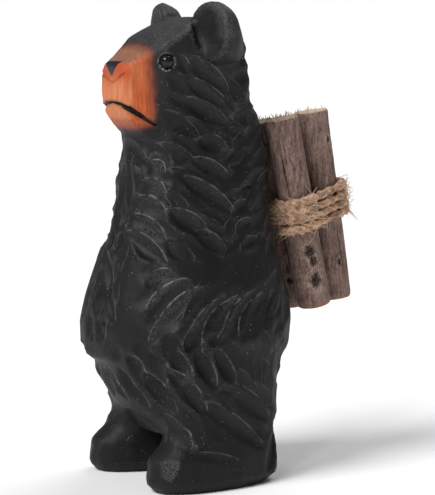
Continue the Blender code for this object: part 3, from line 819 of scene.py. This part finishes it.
# Knots and cracks: angle from the viewer's right, share down from the top, size in mm; a crack has
# the share where it starts and the share where it ends
TWIG_MARKS = {
    "near_twig": {"knots": ((-73, 0.697, 2.7), (-66, 0.752, 2.3), (-70, 0.852, 3.1)),
                  "crack": (-118, 0.10, 0.46)},
    "outer_twig": {"knots": ((-40, 0.15, 1.2), (-60, 0.80, 1.3)), "crack": (-52, 0.55, 0.95)},
    "inner_twig": {"knots": ((-100, 0.85, 1.5),), "crack": (-90, 0.60, 0.97)},
}


# %% Bark
# Depths in mm of the ridges, the fine ridges, the waves, a crack, a worn foot and a knot's pit, and
# the height of its collar
RIDGE_DEPTH, FINE_DEPTH, WAVE_DEPTH = 0.34, 0.20, 0.22
CRACK_DEPTH, WORN_DEPTH = 0.5, 0.5
PIT_DEPTH, COLLAR_HEIGHT = 0.75, 0.42
LEAST_DEPTH = 0.10
END_BEVEL = 0.30


def turn_from(angle, mark_degrees):
    """Angle from a mark to a place, the short way round."""
    return (angle - math.radians(mark_degrees) + math.pi) % (2.0 * math.pi) - math.pi


def knot_marks(twig, seed, angle, share):
    """How deep the knots sink the bark in mm, and how strong their pits and collars are."""
    sink, pit, collar = 0.0, 0.0, 0.0
    for knot_angle, knot_share, knot_size in TWIG_MARKS[twig.name]["knots"]:
        a = turn_from(angle, knot_angle) * twig.radius / MM / knot_size
        b = (share - knot_share) * twig.length / MM / knot_size
        distance = math.sqrt(a * a + 0.7 * b * b)
        distance *= 1.0 + 0.45 * noise.noise(Vector((a * 2.2, b * 2.2, seed + knot_share * 40.0)))
        ring = math.exp(-((distance - 0.85) / 0.35) ** 2)
        hole = math.exp(-(distance / 0.62) ** 2)
        sink += PIT_DEPTH * hole - COLLAR_HEIGHT * ring
        pit = max(pit, hole)
        collar = max(collar, ring)
    return sink, pit, collar


def crack_mark(twig, angle, share):
    """How open the long crack is at a place, from 0 to 1."""
    crack_angle, top, end = TWIG_MARKS[twig.name]["crack"]
    if not top < share < end:
        return 0.0
    turn = turn_from(angle - 0.5 * (share - top), crack_angle)
    closing = math.sin(math.pi * (share - top) / (end - top))
    return math.exp(-(turn * twig.radius / MM / 0.35) ** 2) * closing


def bark_at(twig, seed, angle, share):
    """Radius of the twig at a place, and the marks that the bark's colour follows."""
    ring = Vector((math.cos(angle), math.sin(angle), 0.0))
    ridges = abs(noise.noise(ring * 7.0 + Vector((seed, 0.0, share * 5.0))))
    fine_ridges = abs(noise.noise(ring * 19.0 + Vector((seed, 3.0, share * 11.0))))
    waviness = noise.noise(ring * 1.6 + Vector((seed * 2.0, 5.0, share * 2.4)))
    knot_sink, pit, collar = knot_marks(twig, seed, angle, share)
    crack = crack_mark(twig, angle, share)
    worn = float(smooth_step(0.970, 1.000, share + 0.02 * noise.noise(ring * 5.0)))
    sink = LEAST_DEPTH + RIDGE_DEPTH * ridges + FINE_DEPTH * fine_ridges + WAVE_DEPTH * (0.5 + waviness)
    sink += knot_sink + CRACK_DEPTH * crack
    sink += WORN_DEPTH * worn * (0.4 + abs(noise.noise(ring * 9.0 + Vector((0.0, seed, 0.0)))))
    radius = twig.radius - max(0.0, sink) * MM * scale
    if min(share, 1.0 - share) < 0.001:
        radius -= END_BEVEL * MM
    return radius, {"bark": ridges + 0.6 * fine_ridges, "knot": max(pit, 0.8 * crack),
                    "collar": collar, "worn": worn}


# %% The rod and its sawn ends
AROUND = 110
ALONG = 150
END_RINGS = (0.93, 0.80, 0.60, 0.40, 0.20, 0.08)


def plain_rod():
    """A rod of radius 1 and length 1, cut into a fine net, with rings on its ends."""
    bm = bmesh.new()
    bmesh.ops.create_cone(bm, cap_ends=True, segments=AROUND, radius1=1.0, radius2=1.0, depth=1.0)
    ends = [face for face in bm.faces if len(face.verts) == AROUND]
    upright = [edge for edge in bm.edges if abs(edge.verts[0].co.z - edge.verts[1].co.z) > 0.5]
    bmesh.ops.subdivide_edges(bm, edges=upright, cuts=ALONG - 2, use_grid_fill=True)
    for end in ends:
        before = 1.0
        for share in END_RINGS:
            end = bmesh.ops.extrude_discrete_faces(bm, faces=[end])["faces"][0]
            bmesh.ops.scale(bm, verts=end.verts, vec=(share / before, share / before, 1.0))
            before = share
        bmesh.ops.poke(bm, faces=[end])
    return bm


def end_mark(reach, angle, seed):
    """How far a place on a sawn end stands out in mm, and the ring that it belongs to."""
    if reach < END_RINGS[-1] / 2.0:
        return 0.0, 0.05
    ring = Vector((math.cos(angle) * 6.0 * reach, math.sin(angle) * 6.0 * reach, seed))
    torn_rim = 0.10 if reach > 0.9 else 0.0
    return 0.16 * noise.noise(ring) + torn_rim - 0.12, min(reach, 0.9)


def shape_twig(bm, twig, seed):
    """Moves each point of the plain rod to the bark or the sawn ends of a twig."""
    mark_names = ("bark", "knot", "collar", "worn", "end_ring")
    layers = {name: bm.verts.layers.float.new(name) for name in mark_names}
    for vertex in bm.verts:
        reach = math.hypot(vertex.co.x, vertex.co.y)
        angle = math.atan2(vertex.co.x, vertex.co.y)
        share = 0.5 - vertex.co.z
        level = (0.5 - share) * twig.length
        radius, marks = bark_at(twig, seed, angle, share)
        if reach < 0.99:
            rise, ring = end_mark(reach, angle, seed)
            level += math.copysign(1.0, vertex.co.z) * rise * MM
            marks = {"end_ring": ring}
        for name, value in marks.items():
            vertex[layers[name]] = value
        vertex.co = twig.middle + twig.axis * level + radius * min(reach, 1.0) * twig.outward(angle)
    bmesh.ops.recalc_face_normals(bm, faces=bm.faces)


# %% Strands
def strands_mesh(name, strands, roundness):
    """Mesh of round strands, each given as a path and the radius at each of its points."""
    curve = bpy.data.curves.new(name, 'CURVE')
    curve.dimensions = '3D'
    curve.bevel_depth = MM
    curve.bevel_resolution = roundness
    curve.use_fill_caps = True
    for path, radii in strands:
        spline = curve.splines.new('POLY')
        spline.points.add(len(path) - 1)
        for point, place, radius in zip(spline.points, path, radii):
            point.co = (*place, 1.0)
            point.radius = radius / MM
    holder = bpy.data.objects.new(name, curve)
    mesh = bpy.data.meshes.new_from_object(holder)
    bpy.data.objects.remove(holder)
    bpy.data.curves.remove(curve)
    return mesh


def join_marked(bm, mesh, mark_name, value):
    """Adds a mesh to a piece and gives all its points one mark."""
    count = len(bm.verts)
    bm.from_mesh(mesh)
    layer = bm.verts.layers.float.get(mark_name) or bm.verts.layers.float.new(mark_name)
    for vertex in list(bm.verts)[count:]:
        vertex[layer] = value


def torn_fibres(twig, seed, count):
    """Short fibres that the saw left standing round the top end of a twig."""
    hand = random.Random(int(seed))
    strands = []
    for index in range(count):
        outward = twig.outward(hand.uniform(0.0, 2.0 * math.pi))
        sideways = np.cross(twig.axis, outward)
        start = twig.middle + twig.axis * (twig.length / 2.0 - 0.5 * MM)
        start = start + outward * twig.radius * hand.uniform(0.70, 0.93)
        reach = hand.uniform(0.6, 2.2) * MM
        lean = sideways * hand.uniform(-0.5, 0.5) + outward * hand.uniform(-0.35, 0.10)
        path = [start + (twig.axis + lean * share) * reach * share for share in (0.0, 0.5, 1.0)]
        strands.append((path, (0.20 * MM, 0.14 * MM, 0.04 * MM)))
    return strands


# %% Bark colours
BARK_FURROW = (0.034, 0.019, 0.016, 1.0)
BARK_RIDGE = (0.310, 0.188, 0.160, 1.0)
BARK_PATCH = (0.400, 0.290, 0.235, 1.0)
# Painted highlight on the raised bark between the furrows
BARK_RIDGE_HIGHLIGHT = (0.33, 0.225, 0.190, 1.0)
BARK_PIT = (0.028, 0.017, 0.014, 1.0)
BARK_FLAKE = (0.52, 0.40, 0.35, 1.0)
KNOT_COLLAR = (0.40, 0.29, 0.25, 1.0)
KNOT_DARK = (0.018, 0.011, 0.009, 1.0)
BARK_WORN = (0.36, 0.180, 0.095, 1.0)
WOOD_DARK = (0.40, 0.27, 0.17, 1.0)
WOOD_LIGHT = (0.58, 0.45, 0.32, 1.0)
WOOD_SAWN = (0.70, 0.60, 0.48, 1.0)
RING_COUNT = 46.0

bark = Finish(bpy.data.materials.new("bark"))
plain = bark.place()
streak = bark.noise(bark.place((1.0, 1.0, 0.14)), 900.0, 5.0, 0.70)
crumbs = bark.noise(bark.place((1.0, 1.0, 0.30)), 3000.0, 3.0, 0.75)
fine = bark.noise(plain, 1800.0, 3.0, 0.7)


def bark_colour():
    """Grey-brown bark with dark furrows, a painted highlight on the raised bark, pale flakes, dark knots in
    pale collars, and a worn foot.
    """
    patch = bark.ramp(bark.noise(plain, 130.0), 0.48, 0.70, 0.0, 0.6)
    furrowed = bark.ramp(bark.attribute("bark"), 0.02, 0.34, 0.0, 0.75)
    colour = bark.blend(bark.ramp(streak, 0.38, 0.62), BARK_FURROW, BARK_RIDGE)
    colour = bark.blend(patch, colour, BARK_PATCH)
    # Painted highlight: the raised bark is lighter than the furrows
    colour = bark.blend(furrowed, BARK_RIDGE_HIGHLIGHT, colour)
    pitted = bark.ramp(crumbs, 0.50, 0.38, 0.0, 0.55)
    flaked = bark.ramp(crumbs, 0.60, 0.72, 0.0, 0.6)
    collar = bark.product(bark.attribute("collar"), bark.ramp(crumbs, 0.40, 0.60))
    knot = bark.ramp(bark.attribute("knot"), 0.12, 0.60)
    knot = bark.product(knot, bark.ramp(crumbs, 0.62, 0.50, 0.45, 1.0))
    worn = bark.product(bark.attribute("worn"), bark.ramp(crumbs, 0.35, 0.60))
    for share, shade in ((pitted, BARK_PIT), (flaked, BARK_FLAKE), (collar, KNOT_COLLAR),
                         (knot, KNOT_DARK), (worn, BARK_WORN)):
        colour = bark.blend(share, colour, shade)
    return colour


def sawn_colour():
    """Pale end grain with its year rings."""
    rings = bark.maths('SINE', bark.product(bark.attribute("end_ring"), RING_COUNT))
    colour = bark.blend(bark.ramp(rings, -1.0, 1.0), WOOD_DARK, WOOD_LIGHT)
    return bark.blend(bark.ramp(fine, 0.45, 0.70, 0.0, 0.6), colour, WOOD_SAWN)


on_end = bark.ramp(bark.attribute("end_ring"), 0.005, 0.03)
bark.surface("Base Color", bark.blend(on_end, bark_colour(), sawn_colour()))
bark.surface("Roughness", bark.ramp(fine, 0.3, 0.7, 0.72, 0.95))
bark.surface("Specular IOR Level", 0.25)
bark.bump(bark.maths('ADD', streak, bark.product(fine, 0.4)), 0.0004, 0.8)

# %% The three twigs
FIBRE_RING = 0.7
# Seed of the bark and number of torn fibres; the sawn top of the near twig shows best
TWIG_SEEDS = {"near_twig": (3.0, 60), "inner_twig": (11.0, 24), "outer_twig": (23.0, 24)}
twigs = {}
for node_name, (seed, fibre_count) in TWIG_SEEDS.items():
    twig = Twig(node_name)
    twigs[node_name] = twig
    bm = plain_rod()
    shape_twig(bm, twig, seed)
    fibres = strands_mesh("fibres", torn_fibres(twig, seed, fibre_count), 0)
    join_marked(bm, fibres, "end_ring", FIBRE_RING)
    mesh = bpy.data.meshes.new(node_name + "_bark")
    bm.to_mesh(mesh)
    bm.free()
    finished(node_name + "_bark", mesh, node_name, bark.owner)

# %% [markdown]
# ## Twine
# One length of jute twine goes four times round the bundle. Jute is spun from short coarse fibres,
# so the twine is three plies twisted together with many stray ends standing off it. Each ply and
# each fibre is a round strand along its own path, because a picture of rope on a tube looks flat.

# %% The line of the twine
# The turns sway up and down by these amounts in mm, and press into the bark a little
TURNS = 4
LONG_SWAY, SHORT_SWAY = 0.28, 0.12
PRESS = 0.46
band_points = np.array([vertex.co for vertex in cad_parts["twine_binding"].data.vertices])
band_middle = (band_points.max(axis=0) + band_points.min(axis=0)) / 2.0
bundle_axis = twigs["near_twig"].axis
levels = (band_points - band_middle) @ bundle_axis
twine_diameter = (levels.max() - levels.min()) / (TURNS - 0.05)
pitch = (levels.max() - levels.min() - twine_diameter) / (TURNS - 1)
across_x = np.array((1.0, 0.0, 0.0))
across_y = np.cross(bundle_axis, across_x)


def hull_point(angle, level):
    """Point of the line drawn tight round the twigs at one level of the bundle."""
    way = math.cos(angle) * across_x + math.sin(angle) * across_y
    places = []
    for twig in twigs.values():
        offset = (level + (band_middle - twig.middle) @ bundle_axis) / (twig.axis @ bundle_axis)
        centre = twig.middle + twig.axis * offset
        places.append(centre + way * (twig.radius + PRESS * twine_diameter))
    return max(places, key=lambda place: place @ way), way


def twine_centre(turns):
    """Centre line of the twine after a number of turns round the bundle."""
    angle = 2.0 * math.pi * turns - 0.5 * math.pi
    turn = math.floor(turns)
    climb = turn + smooth_step(0.80, 1.0, turns - turn)
    level = levels.min() + twine_diameter / 2.0 + min(climb, TURNS - 1) * pitch
    sway = LONG_SWAY * math.sin(angle + turn * 1.9) + SHORT_SWAY * math.sin(angle * 2.0 + turn * 4.1)
    return hull_point(angle, level + sway * MM)


# %% Laying the twine round the bundle
STEPS_A_TURN = 84
samples = np.linspace(0.0, TURNS - 0.001, TURNS * STEPS_A_TURN)
line, outward = [np.array(column) for column in zip(*[twine_centre(value) for value in samples])]
for turn in range(2):
    line[1:-1] = 0.5 * line[1:-1] + 0.25 * (line[:-2] + line[2:])
along_line = np.concatenate(([0.0], np.cumsum(np.linalg.norm(np.diff(line, axis=0), axis=1))))
tangent = unit(np.gradient(line, axis=0))
side = unit(np.cross(tangent, outward))
face_out = np.cross(side, tangent)
print("twine length in mm", round(along_line[-1] / MM, 1), "diameter", round(twine_diameter / MM, 2))

# %% Plies
# Radius and offset of a ply and the length of one twist, all in diameters of the twine
PLIES = 3
PLY_RADIUS = 0.320
PLY_OFFSET = 0.240
LAY = 2.9
SWELL = 0.16
twist = 2.0 * math.pi / (twine_diameter * LAY)
plies = []
for ply in range(PLIES):
    phase = 2.0 * math.pi * ply / PLIES + twist * along_line
    offset = np.cos(phase)[:, None] * face_out + np.sin(phase)[:, None] * side
    swell = np.array([noise.noise(Vector((value * 900.0, ply * 7.0, 0.0))) for value in along_line])
    radii = PLY_RADIUS * twine_diameter * (1.0 + SWELL * swell)
    radii[[0, -1]] *= 0.5
    plies.append((line + PLY_OFFSET * twine_diameter * offset, radii))

# %% Stray fibres
FIBRES = 480
FIBRE_TAPER = np.array((1.0, 1.0, 1.0, 0.8, 0.4))
draw = random.Random(5)
stray = []
for count in range(FIBRES):
    index = draw.randrange(4, len(line) - 4)
    out, along, across = face_out[index], tangent[index], side[index]
    lift = draw.uniform(0.15, 0.50)
    start = line[index] + (out * math.cos(lift) + across * draw.uniform(-0.8, 0.8)) * twine_diameter * 0.42
    length = draw.uniform(1.8, 7.0) * MM
    heading = along * draw.choice((-1.0, 1.0)) + out * draw.uniform(0.05, 0.55)
    heading = heading + across * draw.uniform(-1.1, 1.1)
    heading /= np.linalg.norm(heading)
    bend = out * draw.uniform(-0.8, 0.5) + across * draw.uniform(-0.6, 0.6)
    path = [start + (heading * share + bend * 0.45 * share * share) * length
            for share in (0.0, 0.25, 0.5, 0.75, 1.0)]
    stray.append((path, draw.uniform(0.045, 0.090) * MM * FIBRE_TAPER))

# %% Jute
JUTE_DARK = (0.170, 0.085, 0.047, 1.0)
JUTE_LIGHT = (0.700, 0.425, 0.270, 1.0)
JUTE_HAIR = (0.850, 0.640, 0.480, 1.0)
JUTE_STRAY = (0.92, 0.72, 0.53, 1.0)
jute = Finish(bpy.data.materials.new("jute"))
plain = jute.place()
hairs = jute.noise(plain, 2600.0, 3.0, 0.7)
tone = jute.ramp(jute.noise(plain, 420.0, 4.0, 0.65), 0.38, 0.62)
colour = jute.blend(tone, JUTE_DARK, JUTE_LIGHT)
colour = jute.blend(jute.ramp(hairs, 0.45, 0.72, 0.0, 0.7), colour, JUTE_HAIR)
colour = jute.blend(jute.product(jute.attribute("stray"), 0.45), colour, JUTE_STRAY)
jute.surface("Base Color", colour)
jute.surface("Roughness", jute.ramp(hairs, 0.3, 0.7, 0.80, 0.97))
jute.surface("Specular IOR Level", 0.2)
jute.bump(hairs, 0.00025, 0.9)

bm = bmesh.new()
join_marked(bm, strands_mesh("plies", plies, 2), "stray", 0.0)
join_marked(bm, strands_mesh("stray", stray, 0), "stray", 1.0)
mesh = bpy.data.meshes.new("twine_wrap")
bm.to_mesh(mesh)
bm.free()
finished("twine_wrap", mesh, "twine_binding", jute.owner)

# %% [markdown]
# ## Studio
# A plain pale floor under soft suns. The main light is high on the left, in front of the bear's
# face. A weaker one grazes the back, so the gouge strokes show without hard shadows, and a small
# sharp one puts the catch light in the eye.

# %% Floor and sky
FLOOR_HALF = 30.0
FLOOR_WHITE = (0.97, 0.97, 0.97, 1.0)
SKY_LIGHT = 0.18
bm = bmesh.new()
bmesh.ops.create_grid(bm, x_segments=1, y_segments=1, size=FLOOR_HALF)
floor_mesh = bpy.data.meshes.new("floor")
bm.to_mesh(floor_mesh)
bm.free()
floor = bpy.data.objects.new("floor", floor_mesh)
bpy.context.scene.collection.objects.link(floor)
floor_paint = Finish(bpy.data.materials.new("pale_floor"))
floor_paint.surface("Base Color", FLOOR_WHITE)
floor_paint.surface("Roughness", 0.95)
floor_paint.surface("Specular IOR Level", 0.1)
floor_mesh.materials.append(floor_paint.owner)
floor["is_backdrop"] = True

# The sky is white to the camera and dim as a light
sky = Finish(bpy.data.worlds.new("studio"))
background = sky.tree.nodes["Background"]
seen = sky.node("ShaderNodeLightPath", {}).outputs["Is Camera Ray"]
sky.feed(background.inputs["Color"], (1.0, 1.0, 1.0, 1.0))
sky.feed(background.inputs["Strength"], sky.ramp(seen, 0.0, 1.0, SKY_LIGHT, 1.0))
bpy.context.scene.world = sky.owner


# %% Lights
def soft_sun(name, right, toward, up, angle, power):
    """Broad light from one direction, given in the camera's own right, back and up."""
    data = bpy.data.lights.new(name, 'SUN')
    data.angle = math.radians(angle)
    data.energy = power
    lamp = bpy.data.objects.new(name, data)
    way = view_right * right + view_back * toward + Vector((0.0, 0.0, up))
    lamp.rotation_euler = way.to_track_quat('Z', 'Y').to_euler()
    bpy.context.scene.collection.objects.link(lamp)


soft_sun("main_light", -0.56, 0.48, 0.80, 26.0, 2.6)
soft_sun("back_light", 0.35, -0.50, 0.85, 40.0, 1.1)
soft_sun("catch_light", -0.30, 0.80, 0.55, 6.0, 0.35)

# %% Camera at the photograph's angle
DISTANCE = 0.615
CAMERA_HEIGHT = 0.139
PITCH = math.radians(6.135)
camera_data = bpy.data.cameras.new("camera")
camera_data.sensor_width = 36.0
camera_data.lens = 142.5
camera_data.shift_x = 0.067
camera = bpy.data.objects.new("camera", camera_data)
forward = -view_back * math.cos(PITCH) - Vector((0.0, 0.0, math.sin(PITCH)))
up = view_right.cross(forward)
turn = Matrix((view_right, up, -forward)).transposed().to_4x4()
camera.matrix_world = Matrix.Translation(Vector((0.0, axis_y, CAMERA_HEIGHT)) + view_back * DISTANCE) @ turn
bpy.context.scene.collection.objects.link(camera)
bpy.context.scene.camera = camera
bpy.context.scene.view_settings.view_transform = 'Standard'

visual_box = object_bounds()
growth = [(visual_box[1][i] - visual_box[0][i] - cad_box[1][i] + cad_box[0][i]) / MM for i in range(3)]
print("visual minus cad, mm", [round(value, 2) for value in growth])
